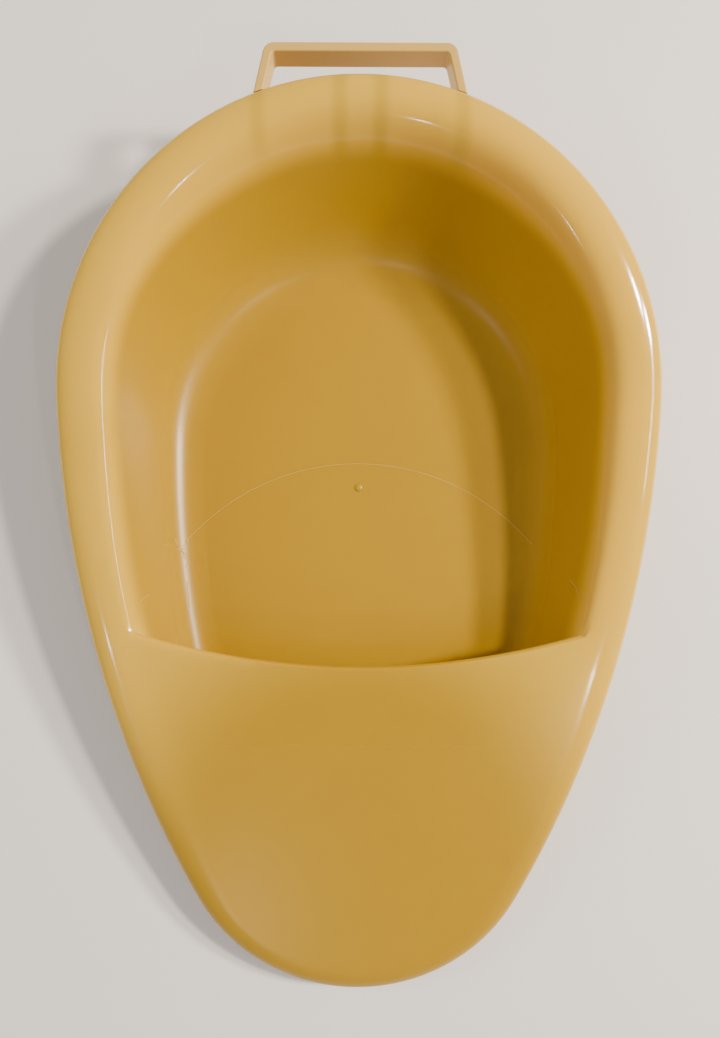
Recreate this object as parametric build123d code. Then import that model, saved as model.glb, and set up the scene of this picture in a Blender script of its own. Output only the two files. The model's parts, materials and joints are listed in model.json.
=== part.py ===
from build123d import *
from math import atan2, cos, hypot, radians, sin, sqrt
import os

# Slipper bedpan: a one-piece moulded pan with a hooded low end, and a loop handle at the deep end.
# Millimetres. +Y points to the handle, +X to the right, +Z up. The base rests on Z = 0, and the origin
# lies below the centre of the round wide end.

# The rim, seen from above: a round wide end, two long side arcs and a round nose, all tangent.
pan_width = 280.0
pan_length = 435.0
nose_radius = 90.0

# The rim is tilted: the height of its outer edge at the handle and at the nose.
rim_back_height = 70.0
rim_nose_height = 11.0

wall = 2.6
floor_thickness = 3.0

# The rim's cross-section, measured in from its outer edge and up from the plane of that edge.
lip_depth = 3.5
crown_height = 5.8
crown_inset = 11.5
edge_round = 2.4

# The inner edge, where the rim's band rolls down into the wall, from the wall upwards. Each entry is
# the inset at the sides, the inset and rise at the back, and the inset and rise at the nose.
inner_edge = (
    (28.3, (29.0, -14.0), (23.0, -0.5)),
    (26.0, (25.0, -6.5), (21.5, 2.0)),
    (23.6, (20.5, 0.2), (19.5, 3.8)),
    (20.3, (16.0, 4.2), (16.5, 5.0)),
)

# The foot of the walls, measured in from the rim's outer edge at the sides, the back and the nose.
floor_side_inset = 47.0
floor_back_inset = 64.0
floor_nose_inset = 36.0
foot_radius = 9.0
wall_draught = 27.0

# The hood's free edge is an arc that dips towards the nose: how far its middle and its corners are from
# the nose, and how far the corners are from the sides. Its top lies just under the rim's crown.
hood_middle_reach = 170.0
hood_corner_reach = 186.0
hood_corner_inset = 30.0
hood_sink = 0.3
hood_lap = 1.5

# The moulded line on the floor, and the gate mark.
line_radius = 119.0
line_centre_reach = 150.0
line_width = 0.9
line_height = 0.4
gate_diameter = 3.2
gate_height = 0.8
gate_back_inset = 178.5

# Two ribs under the rim, between the handle's legs.
rib_spacing = 18.0
rib_width = 4.2
rib_depth = 22.0

# The handle: a flat bar bent to a trapezium.
bar_thickness = 4.0
bar_depth = 13.0
handle_reach = 14.0
handle_foot_width = 94.0
handle_bar_width = 84.0
handle_corner_radius = 5.0
handle_edge_round = 0.8
leg_depth = 20.0

rim_back = pan_width / 2
rim_nose = rim_back - pan_length
rim_slope = (rim_back_height - rim_nose_height) / pan_length
floor_half_width = pan_width / 2 - floor_side_inset
floor_back = rim_back - floor_back_inset
floor_nose = rim_nose + floor_nose_inset
hood_edge_middle = rim_nose + hood_middle_reach
hood_edge_corner = rim_nose + hood_corner_reach


def rim_plane(y):
    """Height of the plane that holds the rim's outer edge."""
    return rim_nose_height + rim_slope * (y - rim_nose)


def egg(half_width, back_y, back_z, nose_y, nose_z, radius):
    """Closed outline of four tangent arcs, in the tilted plane through its back and its nose."""
    length = hypot(back_y - nose_y, back_z - nose_z)
    along = Vector(0, back_y - nose_y, back_z - nose_z)
    plane = Plane(origin=(0, back_y, back_z), x_dir=(1, 0, 0), z_dir=Vector(1, 0, 0).cross(along))
    centres = length - half_width - radius
    side_radius = (centres**2 / (half_width - radius) + half_width + radius) / 2
    turn = atan2(centres, side_radius - half_width)
    side_x = half_width - side_radius

    def on_side(angle):
        return side_x + side_radius * cos(angle), -half_width - side_radius * sin(angle)

    widest = on_side(0)
    middle = on_side(turn / 2)
    meet = on_side(turn)

    def mirrored(point):
        return -point[0], point[1]

    arcs = [
        ThreePointArc(mirrored(widest), (0, 0), widest),
        ThreePointArc(widest, middle, meet),
        ThreePointArc(meet, (0, -length), mirrored(meet)),
        ThreePointArc(mirrored(meet), mirrored(middle), mirrored(widest)),
    ]
    return Wire([plane.from_local_coords(arc) for arc in arcs])


def rim_point(edge, sign, inset, rise):
    """Point of the rim's cross-section where it meets the plane of symmetry: distance along Y, and height."""
    y = edge - sign * inset
    return y, rim_plane(y) + rise


def rim_ring(side_inset, back, nose):
    """Ring of the rim from (inset, rise) pairs: its half width, its back point and its nose point."""
    return pan_width / 2 - side_inset, rim_point(rim_back, 1, *back), rim_point(rim_nose, -1, *nose)


def even_ring(inset, rise):
    """Ring of the rim with the same inset and rise all round."""
    return rim_ring(inset, (inset, rise), (inset, rise))


def foot_point(corner, sign, angle, radius):
    """Point on the rounded foot of the wall, turned up from the floor by angle."""
    reach = radius * (sin(radians(angle)) - sin(radians(90 - wall_draught) / 2))
    return corner + sign * reach, floor_thickness + radius * (1 - cos(radians(angle)))


def inner_profile():
    """Rings of the inside, from the floor's edge up the wall and over the rim to its outer edge.

    Each ring is its half width, its back point and its nose point.
    """
    full_turn = 90 - wall_draught
    rings = []
    for share in (0.0, 0.5, 1.0):
        angle = full_turn * share
        side = foot_point(floor_half_width, 1, angle, foot_radius)[0]
        back = foot_point(floor_back, 1, angle, foot_radius)
        nose = foot_point(floor_nose, -1, angle, foot_radius / 3)
        rings.append((side, back, nose))
    edge_high = (0.9 * edge_round, 0.55 * crown_height)
    edge_low = (0.2 * edge_round, 0.28 * crown_height)
    rings += [rim_ring(*entry) for entry in inner_edge]
    crown = (crown_inset, crown_height)
    shoulder = (crown_inset / 2, 0.83 * crown_height)
    rings += [even_ring(*entry) for entry in (crown, shoulder, edge_high, edge_low, (0, 0))]
    foot_side, foot_back, foot_nose = rings[2]
    top_side, top_back, top_nose = rings[3]
    middle = (
        (foot_side + top_side) / 2 + 1.0,
        ((foot_back[0] + top_back[0]) / 2 + 2.0, (foot_back[1] + top_back[1]) / 2),
        ((foot_nose[0] + top_nose[0]) / 2, (foot_nose[1] + top_nose[1]) / 2),
    )
    rings.insert(3, middle)
    return rings


def side_height(ring):
    """Height of a tilted ring at its widest place."""
    half_width, (back_y, back_z), (nose_y, nose_z) = ring
    return back_z - (back_z - nose_z) * half_width / (back_y - nose_y)


def pushed_out(points, distance):
    """The same open profile, moved outwards and down by distance."""
    moved = []
    for i, (x, z) in enumerate(points):
        before = points[max(i - 1, 0)]
        after = points[min(i + 1, len(points) - 1)]
        across, up = after[0] - before[0], after[1] - before[1]
        run = hypot(across, up)
        moved.append((x + distance * up / run, z - distance * across / run))
    return moved


def moved_rings(rings, distance):
    """The same rings, each moved outwards through the wall by distance."""
    sides = pushed_out([(ring[0], side_height(ring)) for ring in rings], distance)
    backs = pushed_out([ring[1] for ring in rings], distance)
    noses = pushed_out([(-ring[2][0], ring[2][1]) for ring in rings], distance)
    return [(side[0], back, (-nose[0], nose[1])) for side, back, nose in zip(sides, backs, noses)]


def ring_wire(ring):
    half_width, back, nose = ring
    return egg(half_width, *back, *nose, nose_radius - (nose[0] - rim_nose))


def lip_profile():
    """Rings round the bottom of the lip that hangs from the rim's outer edge."""
    rings = []
    for share, lift in ((0.0, 1.1), (0.2, 0.25), (0.5, 0.0), (0.8, 0.25), (1.0, 1.1)):
        inset = share * wall
        rings.append(even_ring(inset, lift - lip_depth))
    return rings


def open_pan():
    """The pan without its hood: one skin from the floor over the rim, round the lip and down to the base."""
    inner = inner_profile()
    outer = moved_rings(inner, wall)
    base_side, base_back, base_nose = outer[0]
    outer[0] = (base_side, (base_back[0], 0.0), (base_nose[0], 0.0))
    rings = inner + lip_profile() + outer[::-1]
    return Solid.make_loft([ring_wire(ring) for ring in rings])


def hood():
    """The flat cover of the low end, cut back to its arc-shaped free edge."""
    inset = crown_inset - hood_lap
    top = Face(ring_wire(even_ring(inset, crown_height - hood_sink)))
    normal = top.normal_at()
    slab = Solid.extrude(top, normal * (-wall if normal.Z > 0 else wall))
    dip = hood_edge_corner - hood_edge_middle
    half_chord = pan_width / 2 - hood_corner_inset
    edge_radius = (half_chord**2 + dip**2) / (2 * dip)
    opening = Cylinder(edge_radius, 4 * rim_back_height)
    return slab - Pos(0, hood_edge_middle + edge_radius, 0) * opening


def moulded_marks():
    """The raised line where two mould cores met on the floor, and the gate's mark."""
    upright = (Align.CENTER, Align.CENTER, Align.MIN)
    line_centre = rim_nose + line_centre_reach
    buried = Pos(0, line_centre, floor_thickness - wall / 2)
    outside = Cylinder(line_radius + line_width / 2, line_height + wall / 2, align=upright)
    inside = Cylinder(line_radius - line_width / 2, line_height + wall / 2, align=upright)
    line = buried * (outside - inside)
    reach = line_centre + line_radius - hood_edge_corner + line_width
    on_floor = Box(2 * floor_half_width, reach, rim_back_height, align=(Align.CENTER, Align.MIN, Align.MIN))
    gate = Cylinder(gate_diameter / 2, gate_height + wall / 2, align=upright)
    gate = chamfer(gate.edges().group_by(Axis.Z)[-1], gate_height / 2)
    line = line & Pos(0, hood_edge_corner, 0) * on_floor
    return line + Pos(0, rim_back - gate_back_inset, floor_thickness - wall / 2) * gate


def bowl_space():
    """What the bowl holds up to the crest of its rim, out to the middle of the wall."""
    rings = moved_rings(inner_profile(), wall / 2)
    crest = max(range(len(rings)), key=lambda i: rings[i][1][1])
    return Solid.make_loft([ring_wire(ring) for ring in rings[: crest + 1]])


def web(x, width, depth):
    """Upright plate that fills the corner between the rim's underside and the wall behind the bowl."""
    far_x = abs(x) + width / 2
    edge_y = rim_back - pan_width / 2 + sqrt((pan_width / 2) ** 2 - far_x**2) - wall
    rise = crown_height - wall
    lowest = rim_back_height - depth
    corners = [
        (floor_back, rim_plane(floor_back) + rise),
        (edge_y, rim_plane(edge_y) + rise),
        (edge_y, rim_back_height - bar_depth),
        (edge_y - wall, rim_back_height - bar_depth),
        (floor_back + depth, lowest),
        (floor_back, lowest),
    ]
    face = Plane.YZ * make_face(Polyline(*corners, close=True))
    plate = Pos(x - width / 2, 0, 0) * extrude(face, width, dir=(1, 0, 0))
    return plate - bowl_space()


def pan_body():
    ribs = [web(side * rib_spacing / 2, rib_width, rib_depth) for side in (-1, 1)]
    body = open_pan()
    for piece in [hood(), moulded_marks()] + ribs:
        body = body + piece
    return body


def handle_outline(offset):
    """Corners of the loop's plan, moved in from its outside by offset."""
    foot_y = sqrt((pan_width / 2) ** 2 - (handle_foot_width / 2) ** 2) + rim_back - pan_width / 2
    bar_y = rim_back + handle_reach
    lean = atan2((handle_foot_width - handle_bar_width) / 2, bar_y - foot_y)
    foot_x = handle_foot_width / 2 - offset
    corner_y = bar_y - offset
    corner_x = foot_x - (corner_y - foot_y) * sin(lean) / cos(lean) - offset * (1 / cos(lean) - 1)
    inner_y = foot_y - 2 * bar_thickness
    half = [(foot_x, inner_y), (foot_x, foot_y), (corner_x, corner_y)]
    return half + [(-x, y) for x, y in half[::-1]]


def loop_face(offset, radius):
    face = make_face(Polyline(*handle_outline(offset), close=True))
    corners = face.vertices().group_by(Axis.Y)[-1]
    return fillet(corners, radius)


def carry_handle(body):
    """The loop, with legs that run on under the rim to the wall and fit both of them."""
    outside = loop_face(0, handle_corner_radius)
    inside = loop_face(bar_thickness, handle_corner_radius - bar_thickness + 1)
    plan = outside - inside
    loop = Pos(0, 0, rim_back_height - bar_depth) * extrude(plan, bar_depth)
    level_edges = loop.edges().filter_by(lambda edge: edge.bounding_box().size.Z < 1e-6)
    loop = fillet(level_edges.filter_by(lambda edge: edge.length > bar_thickness + 1e-3), handle_edge_round)
    leg_x = (handle_foot_width - bar_thickness) / 2
    raw = loop
    for side in (-1, 1):
        raw = raw + web(side * leg_x, bar_thickness, leg_depth)
    return raw - body


os.makedirs("parts", exist_ok=True)
pan = pan_body()
nodes = {"pan_body": pan, "carry_handle": carry_handle(pan)}
for name, shape in nodes.items():
    export_step(shape, f"parts/{name}.step")
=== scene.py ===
import json
from math import atan2, cos, pi, sin, sqrt

import bmesh
import bpy
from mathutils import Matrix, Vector

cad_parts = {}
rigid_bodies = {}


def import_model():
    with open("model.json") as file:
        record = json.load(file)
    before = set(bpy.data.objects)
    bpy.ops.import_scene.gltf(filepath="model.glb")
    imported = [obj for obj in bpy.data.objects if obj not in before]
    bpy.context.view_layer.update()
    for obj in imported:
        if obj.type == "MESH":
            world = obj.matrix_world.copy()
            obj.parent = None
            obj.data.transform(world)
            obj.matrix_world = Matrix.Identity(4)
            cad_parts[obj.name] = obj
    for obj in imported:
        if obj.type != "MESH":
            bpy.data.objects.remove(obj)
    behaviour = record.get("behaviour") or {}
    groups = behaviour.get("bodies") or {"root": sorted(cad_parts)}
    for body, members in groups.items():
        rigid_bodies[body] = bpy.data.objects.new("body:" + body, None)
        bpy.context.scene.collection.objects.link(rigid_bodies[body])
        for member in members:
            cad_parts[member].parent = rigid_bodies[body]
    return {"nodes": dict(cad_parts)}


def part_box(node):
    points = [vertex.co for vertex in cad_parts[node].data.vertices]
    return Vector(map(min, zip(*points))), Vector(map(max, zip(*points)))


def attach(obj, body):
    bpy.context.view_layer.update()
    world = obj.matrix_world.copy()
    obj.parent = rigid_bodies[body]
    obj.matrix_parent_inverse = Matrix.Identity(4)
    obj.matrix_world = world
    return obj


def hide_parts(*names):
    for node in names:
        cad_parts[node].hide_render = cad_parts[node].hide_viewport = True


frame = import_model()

# The default cube, lamp and camera go first, so that the box is the CAD's alone.
for stray in [o for o in bpy.data.objects if o.name in ("Cube", "Light", "Camera")]:
    bpy.data.objects.remove(stray)
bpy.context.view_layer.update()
mm = 0.001

# ---------------------------------------------------------------------------------------------------
# The pan. One injection moulding in polypropylene: bowl, rolled rim and hood are a single skin. It is
# laid out as rings round the bowl, with the same columns of vertices in each, counted from the middle
# of the back down the right side to the nose and up the left side again.

# The CAD's smooth skin swells a hair past the rim's edge, which lies at whole millimetres.
pan_low, pan_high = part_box("pan_body")
half_width, rim_back, rim_nose = [round(edge, 3) for edge in (pan_high[0], pan_high[1], pan_low[1])]
nose_radius = 90 * mm
rim_back_height = 70 * mm
rim_nose_height = 11 * mm
rim_slope = (rim_back_height - rim_nose_height) / (rim_back - rim_nose)
wall = 2.6 * mm
floor_height = 3.0 * mm
rib_spacing = 18 * mm
leg_spacing = 90 * mm
same_place = 0.01 * mm

# Steps round half a ring: the back, the side to the hood's corner, from there to the nose's arc, and
# the nose. The hood's corner lies this share of the way along the side.
back_steps = 20
side_steps = 10
nose_steps = 12
corner_share = 0.45
half_steps = back_steps + 2 * side_steps + nose_steps
columns = 2 * half_steps
corner = back_steps + side_steps


def outline(half, back_y, nose_y, radius):
    """The columns of an egg-shaped ring, round from the back: plan points and outward directions."""
    centres = back_y - half - nose_y - radius
    side_radius = (centres**2 / (half - radius) + half + radius) / 2
    turn = atan2(centres, side_radius - half)
    shares = [corner_share * i / side_steps for i in range(side_steps)]
    shares += [corner_share + (1 - corner_share) * i / side_steps for i in range(side_steps)]
    arcs = [(0, back_y - half, half, pi / 2 * (1 - i / back_steps)) for i in range(back_steps)]
    arcs += [(half - side_radius, back_y - half, side_radius, -turn * share) for share in shares]
    arcs += [(0, nose_y + radius, radius, -turn - (pi / 2 - turn) * i / nose_steps)
             for i in range(nose_steps + 1)]
    points = [Vector((x + r * cos(angle), y + r * sin(angle), 0)) for x, y, r, angle in arcs]
    outward = [Vector((cos(angle), sin(angle), 0)) for x, y, r, angle in arcs]
    mirror = Vector((-1, 1, 1))
    points += [point * mirror for point in points[-2:0:-1]]
    outward += [direction * mirror for direction in outward[-2:0:-1]]
    return points, outward


rim_edge, outward = outline(half_width, rim_back, rim_nose, nose_radius)


def bowl_ring(half, back, nose):
    """A ring in a tilted plane. back and nose are (y, z) pairs; everything is in mm."""
    radius = nose_radius - (nose[0] * mm - rim_nose)
    points = outline(half * mm, back[0] * mm, nose[0] * mm, radius)[0]
    slope = (back[1] - nose[1]) / (back[0] - nose[0])
    for point in points:
        point.z = nose[1] * mm + slope * (point.y - nose[0] * mm)
    return points


def rim_ring(*stations):
    """A ring laid in from the rim's outer edge and up from the plane of that edge, in mm.

    One (inset, rise) pair serves all round; four serve the back, side, hood corner and nose.
    """
    if len(stations) == 1:
        stations = stations * 4
    places = (0, back_steps, corner, half_steps)
    points = []
    for column, (edge, out) in enumerate(zip(rim_edge, outward)):
        step = min(column, columns - column)
        span = max(i for i in range(3) if places[i] <= step)
        share = (step - places[span]) / (places[span + 1] - places[span])
        share = share * share * (3 - 2 * share)
        inset, rise = [a + (b - a) * share for a, b in zip(stations[span], stations[span + 1])]
        point = edge - out * inset * mm
        point.z = rim_nose_height + rim_slope * (point.y - rim_nose) + rise * mm
        points.append(point)
    return points


def through_wall(rings, distance):
    """The same rings moved outwards through the wall, square to the skin that they make."""
    moved = []
    for i, points in enumerate(rings):
        before, after = rings[max(i - 1, 0)], rings[min(i + 1, len(rings) - 1)]
        steps = [b - a for a, b in zip(before, after)]
        moved.append([point + Vector((out.x * step.z, out.y * step.z, -step.dot(out))).normalized() * distance
                      for point, step, out in zip(points, steps, outward)])
    return moved


def edit(piece):
    """Opens the piece alone in edit mode, with vertices to select."""
    bpy.ops.object.select_all(action="DESELECT")
    piece.select_set(True)
    bpy.context.view_layer.objects.active = piece
    bpy.ops.object.mode_set(mode="EDIT")
    bpy.ops.mesh.select_mode(type="VERT")


def place(piece, points):
    """Moves the selected vertices, each to the point of its column."""
    mesh = bmesh.from_edit_mesh(piece.data)
    column = mesh.verts.layers.int["column"]
    for vert in mesh.verts:
        if vert.select:
            vert.co = points[vert[column]]
    bmesh.update_edit_mesh(piece.data)


def start_ring(name, points):
    """A circle with one vertex to a column, laid on the points, left in edit mode."""
    bpy.ops.object.select_all(action="DESELECT")
    bpy.ops.mesh.primitive_circle_add(vertices=len(points), radius=half_width)
    piece = bpy.context.object
    piece.name = name
    edit(piece)
    mesh = bmesh.from_edit_mesh(piece.data)
    column = mesh.verts.layers.int.new("column")
    mesh.verts.ensure_lookup_table()
    for vert in mesh.verts:
        vert[column] = vert.index
    bmesh.update_edit_mesh(piece.data)
    bpy.ops.mesh.select_all(action="SELECT")
    place(piece, points)
    return piece


def extrude_to(piece, points):
    """Extrudes the selected edges to the next ring."""
    bpy.ops.mesh.extrude_edges_move()
    place(piece, points)


def select_where(piece, test):
    """Selects the vertices that pass the test, and the edges and faces between them."""
    bpy.ops.mesh.select_all(action="DESELECT")
    mesh = bmesh.from_edit_mesh(piece.data)
    column = mesh.verts.layers.int["column"]
    for vert in mesh.verts:
        if test(vert, vert[column]):
            vert.select = True
    mesh.select_flush_mode()
    bmesh.update_edit_mesh(piece.data)


# The inside, from the floor's edge up the wall to the ceiling under the hood, then over the rim.
foot = [
    bowl_ring(82.0, (63.0, 3.0), (-254.5, 3.0)),
    bowl_ring(91.0, (73.5, 4.4), (-258.0, 3.3)),
    bowl_ring(97.2, (82.5, 10.5), (-260.2, 4.6)),
]
wall_rings = [
    bowl_ring(102.2, (92.0, 22.0), (-263.4, 7.7)),
    bowl_ring(107.6, (102.4, 38.5), (-267.0, 11.5)),
]
ceiling = rim_ring((29.0, -14.0), (27.2, -3.8), (21.9, 2.3), (21.6, 2.2))
band = [
    rim_ring((25.0, -6.5), (24.6, 1.1), (20.9, 3.7), (20.6, 3.8)),
    rim_ring((20.6, 0.2), (21.0, 4.2), (18.6, 5.1), (18.6, 5.1)),
    rim_ring((16.0, 4.2), (17.0, 5.4), (14.6, 5.6), (14.6, 5.5)),
]
crest = rim_ring((11.0, 5.6), (11.5, 5.6), (10.0, 5.6), (10.0, 5.6))
edge_roll = [rim_ring(pair) for pair in ((6.0, 4.8), (2.2, 3.2), (0.5, 1.6), (0.0, 0.0))]
lip = [rim_ring(pair) for pair in ((0.0, -2.4), (0.5, -3.3), (1.3, -3.5), (2.1, -3.3), (2.6, -2.4))]
inside = foot + wall_rings + [ceiling] + band + [crest] + edge_roll
outside = through_wall(inside, wall)
base = [Vector((point.x, point.y, 0)) for point in outside[0]]

# The outer skin runs from the rim's crest over the edge, round the lip and down to the base.
pan = start_ring("pan_shell", crest)
for points in edge_roll + lip + outside[:0:-1] + [base]:
    extrude_to(pan, points)
bpy.ops.mesh.fill_grid(span=columns // 4)
bpy.ops.object.mode_set(mode="OBJECT")

# The inner skin runs down from the ceiling to the floor, and behind the hood up to the crest too.
inner = start_ring("pan_inside", ceiling)
for points in wall_rings[::-1] + foot[::-1]:
    extrude_to(inner, points)
bpy.ops.mesh.fill_grid(span=columns // 4)


def behind_hood(column):
    """Whether the column lies in the open part of the pan, with the hood's corners counted in."""
    return column <= corner or column >= columns - corner


def on_ring(vert, points, column):
    """Whether the vertex is at the ring's point of that column."""
    return (vert.co - points[column]).length < same_place


select_where(inner, lambda vert, column: behind_hood(column) and on_ring(vert, ceiling, column))
for points in band + [crest]:
    extrude_to(inner, points)
bpy.ops.object.mode_set(mode="OBJECT")


def join_to_pan(piece):
    """Joins the piece to the pan, as part of the same moulding."""
    bpy.ops.object.select_all(action="DESELECT")
    piece.select_set(True)
    pan.select_set(True)
    bpy.context.view_layer.objects.active = pan
    bpy.ops.object.join()


join_to_pan(inner)
edit(pan)
bpy.ops.mesh.select_all(action="SELECT")
bpy.ops.mesh.remove_doubles(threshold=same_place)

# The hood: its free edge is an arc between the two corners, and the wall's thickness below it the
# same arc again. A grid fills each sheet, and a strip joins the two edges.
hood_steps = 2 * nose_steps
hood_dip = 16 * mm
hood_edge_crease = 0.55
smoothing_levels = 2


def free_edge(points):
    """An edge from corner to corner, cut into steps and dipped to the arc."""
    right, left = corner, columns - corner
    select_where(pan, lambda vert, column: column in (right, left) and on_ring(vert, points, column))
    bpy.ops.mesh.edge_face_add()
    bpy.ops.mesh.subdivide(number_cuts=hood_steps - 1)
    mesh = bmesh.from_edit_mesh(pan.data)
    end = points[right]
    radius = (end.x**2 + hood_dip**2) / (2 * hood_dip)
    for vert in mesh.verts:
        if vert.select:
            fall = sqrt(radius**2 - vert.co.x**2) - sqrt(radius**2 - end.x**2)
            vert.co.y = end.y - fall
            vert.co.z = end.z - fall * rim_slope
    bmesh.update_edit_mesh(pan.data)


def select_edges(piece, test):
    """Selects the edges that pass the test."""
    bpy.ops.mesh.select_all(action="DESELECT")
    bpy.ops.mesh.select_mode(type="EDGE")
    mesh = bmesh.from_edit_mesh(piece.data)
    column = mesh.verts.layers.int["column"]
    for edge in mesh.edges:
        edge.select_set(test(edge, column))
    bmesh.update_edit_mesh(piece.data)


def fill_hood(rings):
    """Fills from the free edge forward to the open edges that lie on the rings."""
    def open_rim(edge, column):
        on_rings = all(any(on_ring(vert, points, vert[column]) for points in rings) for vert in edge.verts)
        return edge.is_wire or (edge.is_boundary and on_rings)

    select_edges(pan, open_rim)
    bpy.ops.mesh.fill_grid(span=hood_steps)
    bpy.ops.mesh.select_mode(type="VERT")


free_edge(band[1])
fill_hood(band[1:] + [crest])
free_edge(ceiling)
fill_hood([ceiling])
select_edges(pan, lambda edge, column: edge.is_boundary)
bpy.ops.mesh.fill_grid(span=hood_steps)
bpy.ops.transform.edge_crease(value=hood_edge_crease)
bpy.ops.mesh.select_all(action="SELECT")
bpy.ops.mesh.normals_make_consistent(inside=False)
bpy.ops.object.mode_set(mode="OBJECT")
smooth = pan.modifiers.new("smooth", "SUBSURF")
smooth.levels = smooth.render_levels = smoothing_levels
bpy.ops.object.modifier_apply(modifier="smooth")


def linear(code):
    """An sRGB hex colour as a linear one."""
    parts = [int(code[i:i + 2], 16) / 255 for i in (1, 3, 5)]
    return [c / 12.92 if c <= 0.04045 else ((c + 0.055) / 1.055) ** 2.4 for c in parts] + [1.0]


def set_inputs(node, inputs):
    """Sets each input to a value, or links it to an output or to another node's first output."""
    for key, value in inputs.items():
        if isinstance(value, bpy.types.Node):
            value = value.outputs[0]
        if isinstance(value, bpy.types.NodeSocket):
            node.id_data.links.new(value, node.inputs[key])
        else:
            node.inputs[key].default_value = value


def new_material(name, inputs):
    """A material with these inputs to its surface."""
    material = bpy.data.materials.new(name)
    material.use_nodes = True
    set_inputs(material.node_tree.nodes["Principled BSDF"], inputs)
    return material


def add_node(material, kind, inputs, **settings):
    """Adds a node to the material, with its settings and links."""
    node = material.node_tree.nodes.new("ShaderNode" + kind)
    for name, value in settings.items():
        setattr(node, name, value)
    set_inputs(node, inputs)
    return node


# Semi-gloss polypropylene in a buff yellow, slightly translucent, so that shadows in it turn warm.
# Moulded against polished steel, it has sharp highlights in the bowl and on the rim, and a faint peel
# that softens them. The hood was moulded against a duller face, and scatters its light.
polypropylene_ior = 1.49
plastic = new_material("gloss_polypropylene", {
    "IOR": polypropylene_ior,
    "Subsurface Weight": 0.5,
    "Subsurface Radius": (1.0, 0.65, 0.15),
    "Subsurface Scale": 4 * mm,
})
place_on_pan = add_node(plastic, "TexCoord", {}).outputs["Object"]
axes = add_node(plastic, "SeparateXYZ", {0: place_on_pan}).outputs

# Painted light: the plastic is painted paler where the wall stands clear of the table, as in the rim,
# for the glow of light that comes up through the thin shell; this painted glow reaches further down
# the wall at the back. The middle of the hood stays deep.
fade = "SMOOTHSTEP"
reach_down = 8 * mm
hood_middle_place = (0, -215 * mm, 20 * mm)
nose_level = rim_nose_height - rim_slope * rim_nose
rim_level = add_node(plastic, "Math", {0: axes["Y"], 1: rim_slope, 2: nose_level}, operation="MULTIPLY_ADD")
rise = add_node(plastic, "Math", {0: axes["Z"], 1: rim_level}, operation="SUBTRACT")
at_back = add_node(plastic, "MapRange", {0: axes["Y"], 1: 30 * mm, 2: 110 * mm}, interpolation_type=fade)
rise = add_node(plastic, "Math", {0: at_back, 1: reach_down, 2: rise}, operation="MULTIPLY_ADD")
on_rim = add_node(plastic, "MapRange", {0: rise, 1: -8 * mm, 2: 3.5 * mm}, interpolation_type=fade)
from_middle = add_node(plastic, "VectorMath", {0: place_on_pan, 1: hood_middle_place}, operation="DISTANCE")
from_middle = from_middle.outputs["Value"]
off_middle = add_node(plastic, "MapRange", {0: from_middle, 1: 72 * mm, 2: 150 * mm}, interpolation_type=fade)
painted_glow = add_node(plastic, "Math", {0: on_rim, 1: off_middle}, operation="MULTIPLY")

# Painted shade: the ribs and the handle's legs under the rim hold back the light that comes through it,
# painted as four darker streaks cut out of the painted glow.
sideways = add_node(plastic, "Math", {0: axes["X"]}, operation="ABSOLUTE")
rib_shade = 0.0
for line_place, strength in ((rib_spacing / 2, 0.4), (leg_spacing / 2, 0.35)):
    off_line = add_node(plastic, "Math", {0: sideways, 1: line_place}, operation="SUBTRACT")
    off_line = add_node(plastic, "Math", {0: off_line}, operation="ABSOLUTE")
    on_line = add_node(plastic, "MapRange", {0: off_line, 1: 5.6 * mm, 2: 0.6 * mm}, interpolation_type=fade)
    rib_shade = add_node(plastic, "Math", {0: on_line, 1: strength, 2: rib_shade}, operation="MULTIPLY_ADD")
behind_bowl = add_node(plastic, "MapRange", {0: axes["Y"], 1: 100 * mm, 2: 116 * mm}, interpolation_type=fade)
rib_shade = add_node(plastic, "Math", {0: rib_shade, 1: behind_bowl}, operation="MULTIPLY")
clear_of_rib_shade = add_node(plastic, "Math", {0: 1.0, 1: rib_shade}, operation="SUBTRACT")
painted_glow = add_node(plastic, "Math", {0: painted_glow, 1: clear_of_rib_shade}, operation="MULTIPLY")

# Faint clouds in the pigment, of uneven mixing in the melt.
cloud_size = 55.6 * mm
cloud_strength = 0.12
cloud = add_node(plastic, "TexNoise", {"Vector": place_on_pan, "Scale": 1 / cloud_size, "Detail": 3.0})
cloud = add_node(plastic, "MapRange", {0: cloud, 1: 0.45, 2: 0.75}, interpolation_type=fade)
cloud = add_node(plastic, "Math", {0: cloud, 1: cloud_strength}, operation="MULTIPLY")
# The deep tone is the plastic's own; the paler one is the painted glow of light through the shell.
tone = add_node(plastic, "Mix", {0: painted_glow, 6: linear("#B48C0C"), 7: linear("#DEB436")}, data_type="RGBA")
tone = add_node(plastic, "Mix", {0: cloud, 6: tone.outputs[2], 7: linear("#A67E14")}, data_type="RGBA")

# Roughness: the bowl's, and how far each other part differs from it.
bowl_roughness = 0.21
near_floor = add_node(plastic, "MapRange", {0: axes["Z"], 1: 26 * mm, 2: 8 * mm}, interpolation_type=fade)
on_hood = add_node(plastic, "MapRange", {0: axes["Y"], 1: -118 * mm, 2: -175 * mm}, interpolation_type=fade)
roughness = bowl_roughness
for part, difference in ((near_floor, 0.09), (on_rim, -0.1), (on_hood, 0.18)):
    roughness = add_node(plastic, "Math", {0: part, 1: difference, 2: roughness}, operation="MULTIPLY_ADD")

# The peel of a moulded skin, drawn a little coarser than it is so that it shows.
peel_size = 2.38 * mm
peel_depth = 0.05 * mm
peel = add_node(plastic, "TexNoise", {"Vector": place_on_pan, "Scale": 1 / peel_size, "Detail": 2.0})
peel = add_node(plastic, "Bump", {"Height": peel, "Strength": 0.25, "Distance": peel_depth})
set_inputs(plastic.node_tree.nodes["Principled BSDF"], {
    "Base Color": tone.outputs[2],
    "Roughness": roughness,
    "Normal": peel,
})


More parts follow.
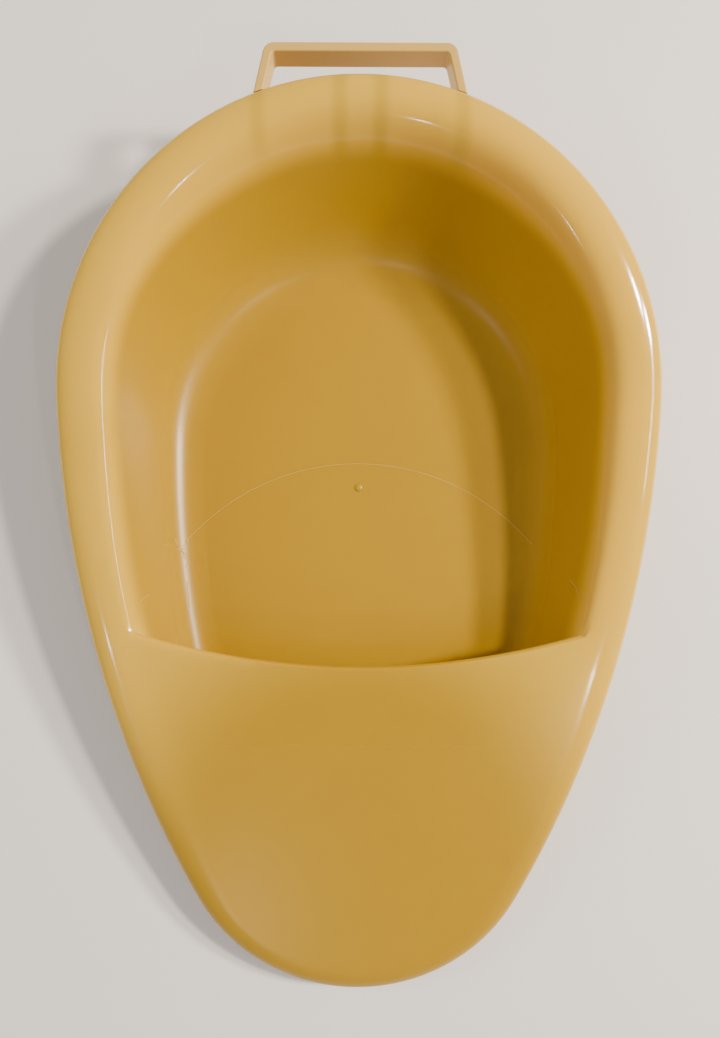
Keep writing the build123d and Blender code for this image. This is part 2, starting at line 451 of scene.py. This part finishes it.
def made_of(piece, material):
    """Gives the piece this material and no other."""
    piece.data.materials.clear()
    piece.data.materials.append(material)


made_of(pan, plastic)

# Two ribs under the rim, moulded with it between the handle's legs. Their hidden edge follows the
# middle of the wall, from half way up the bowl to the rim's edge.
rib_width = 4.2 * mm
rib_depth = 22 * mm
rib_drop = 13 * mm
middle_of_wall = [points[0] for points in through_wall(inside, wall / 2)]
hidden = middle_of_wall[len(foot) + 1:-2]
rib_outline = hidden + [
    Vector((0, rim_back - wall, rim_back_height - rib_drop)),
    Vector((0, rim_back - 2 * wall, rim_back_height - rib_drop)),
    Vector((0, hidden[0].y + rib_depth / 2, rim_back_height - rib_depth)),
]
for side in (-1, 1):
    rib_side = Vector((side * rib_spacing / 2 - rib_width / 2, 0, 0))
    rib = start_ring("rim_rib", [point + rib_side for point in rib_outline])
    bpy.ops.mesh.edge_face_add()
    bpy.ops.mesh.extrude_region_move(TRANSFORM_OT_translate={"value": (rib_width, 0, 0)})
    bpy.ops.mesh.select_all(action="SELECT")
    bpy.ops.mesh.normals_make_consistent(inside=False)
    bpy.ops.object.mode_set(mode="OBJECT")
    made_of(rib, plastic)
    join_to_pan(rib)

# The line where two mould cores met: a fine raised bead that crosses the floor from one foot of the
# wall to the other. It is part of a circle dropped on to the inside of the bowl. Plastic that was
# stressed or squeezed thin there is paler and duller.
line_radius = 119 * mm
line_centre = -145 * mm
line_end = -68 * mm
line_steps = 540
line_thickness = 0.32 * mm
drop_height = 90 * mm
flash_plastic = new_material("stressed_polypropylene", {
    "Base Color": linear("#D2A854"),
    "Roughness": 0.35,
    "IOR": polypropylene_ior,
})


def beaded(piece, thickness):
    """Drops a wire on to the surface below it and turns it into a bead joined to the pan."""
    bpy.ops.object.mode_set(mode="OBJECT")
    drop = piece.modifiers.new("drop", "SHRINKWRAP")
    drop.target = pan
    drop.wrap_method = "PROJECT"
    drop.use_project_z = True
    drop.use_negative_direction = True
    drop.use_positive_direction = False
    bpy.ops.object.modifier_apply(modifier="drop")
    bpy.ops.object.convert(target="CURVE")
    piece.data.bevel_depth = thickness / 2
    piece.data.bevel_resolution = 2
    piece.data.use_fill_caps = True
    bpy.ops.object.convert(target="MESH")
    edit(piece)
    bpy.ops.mesh.select_all(action="SELECT")
    bpy.ops.mesh.remove_doubles(threshold=same_place / 10)
    bpy.ops.mesh.normals_make_consistent(inside=False)
    bpy.ops.object.mode_set(mode="OBJECT")
    made_of(piece, flash_plastic)
    join_to_pan(piece)


line_turns = [2 * pi * i / line_steps for i in range(line_steps)]
mould_line = start_ring("mould_line", [
    Vector((-line_radius * sin(turn), line_centre + line_radius * cos(turn), drop_height))
    for turn in line_turns
])
select_where(mould_line, lambda vert, column: vert.co.y < line_end)
bpy.ops.mesh.delete(type="VERT")
beaded(mould_line, line_thickness)

# The gate's mark, a small flat pip a little behind the line.
gate_radius = 2.1 * mm
gate_flatness = 0.4
gate_place = (0, -38.5 * mm, floor_height)
bpy.ops.object.select_all(action="DESELECT")
bpy.ops.mesh.primitive_uv_sphere_add(segments=24, ring_count=12, radius=gate_radius,
                                     scale=(1, 1, gate_flatness), location=gate_place)
gate_mark = bpy.context.object
bpy.ops.object.transform_apply(location=True, scale=True)
made_of(gate_mark, plastic)
join_to_pan(gate_mark)

# Threads of flash where the parting line meets the wall's foot and the hood's corners, as plan points
# in millimetres.
thread_thickness = 0.45 * mm
threads = (
    ((-88.6, -66), (-90.5, -69), (-93.6, -71.5), (-91.2, -72), (-89.4, -74.5), (-88.6, -78), (-89.8, -80.5)),
    ((-99.0, -68.5), (-98.0, -68.8), (-97.0, -68)),
    ((-94.4, -65.5), (-94.2, -67.5), (-93.4, -69)),
    ((-90.2, -71), (-92.0, -70.6), (-90.8, -73.5), (-90.2, -76)),
    ((-102.5, -92.5), (-104.5, -94), (-106.5, -97.5)),
    ((104.0, -84), (106.0, -88), (107.0, -93)),
    ((-89.0, -88), (-88.4, -94), (-87.2, -101)),
)
for plan in threads:
    thread = start_ring("flash_thread", [Vector((x * mm, y * mm, drop_height)) for x, y in plan])
    select_where(thread, lambda vert, column: column in (0, len(plan) - 1))
    bpy.ops.mesh.delete(type="EDGE")
    bpy.ops.mesh.select_all(action="SELECT")
    bpy.ops.mesh.subdivide(number_cuts=3, smoothness=1)
    beaded(thread, thread_thickness)

sharp_angle = 0.7
bpy.ops.object.shade_smooth_by_angle(angle=sharp_angle)
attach(pan, "root")
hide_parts("pan_body")

# ---------------------------------------------------------------------------------------------------
# The handle. A separate moulding in the same plastic, paler and with a satin skin that spreads its
# highlights, welded to the pan at the ends of its legs. Its shape is the CAD's.
handle = frame["nodes"]["carry_handle"]
handle.material_slots[0].material = new_material("satin_polypropylene", {
    "Base Color": linear("#D2AB54"),
    "Roughness": 0.42,
    "IOR": polypropylene_ior,
})

# ---------------------------------------------------------------------------------------------------
# The table, the lamps and the camera. The table is a white laminate with a soft sheen. The lamps
# stand in for a window and a ceiling lamp on the right, and small lamps in front and on the left.
table_width = 6.0
bpy.ops.object.select_all(action="DESELECT")
bpy.ops.mesh.primitive_plane_add(size=table_width)
table = bpy.context.object
table.name = "table_top"
made_of(table, new_material("white_laminate", {"Base Color": linear("#F4F1EE"), "Roughness": 0.45}))


def lamp(name, direction, distance, size, energy, tint):
    """A round lamp that shines on the pan from the direction, in metres and watts."""
    direction = Vector(direction)
    bpy.ops.object.light_add(type="AREA", location=direction.normalized() * distance)
    light = bpy.context.object
    light.name = name
    light.rotation_euler = direction.to_track_quat("Z", "Y").to_euler()
    light.data.shape = "DISK"
    light.data.size = size
    light.data.energy = energy
    light.data.color = linear(tint)[:3]
    return light


lamp("window_light", (1.34, 0.24, 1.0), 1.8, 0.17, 29, "#FFF4E4")
window_strip = lamp("window_strip", (1.34, -0.04, 1.0), 1.8, 0.7, 7.5, "#FFF6EA")
window_strip.data.shape = "RECTANGLE"
window_strip.data.size_y = 0.1
lamp("ceiling_light", (0.94, 0.25, 1.0), 1.9, 0.16, 30, "#FFF1DE")
lamp("front_right_light", (0.393, -0.493, 0.776), 2.0, 0.07, 2.6, "#FFF3E2")
lamp("front_left_light", (-0.175, -0.75, 0.64), 2.0, 0.07, 1.5, "#FFF3E2")
lamp("left_light", (-0.555, -0.456, 0.695), 2.0, 0.08, 1.2, "#F4F4FF")
left_fill = lamp("left_fill", (-1.2, 0.25, 0.75), 2.0, 1.0, 15, "#F6F2EE")
left_fill.visible_glossy = False
room_strength = 0.4
world = bpy.context.scene.world or bpy.data.worlds.new("world")
bpy.context.scene.world = world
world.use_nodes = True
set_inputs(world.node_tree.nodes["Background"], {"Color": linear("#E9E4DE"), "Strength": room_strength})

# The camera looks straight down from over the middle of the bowl.
camera_place = (0.8 * mm, -54.9 * mm, 411.3 * mm)
camera_turn = 0.005
focal_length = 27.05
nearest_seen = 10 * mm
camera_data = bpy.data.cameras.new("camera")
camera = bpy.data.objects.new("camera", camera_data)
bpy.context.scene.collection.objects.link(camera)
camera.location = camera_place
camera.rotation_euler = (0, 0, camera_turn)
camera_data.lens = focal_length
camera_data.clip_start = nearest_seen
bpy.context.scene.camera = camera
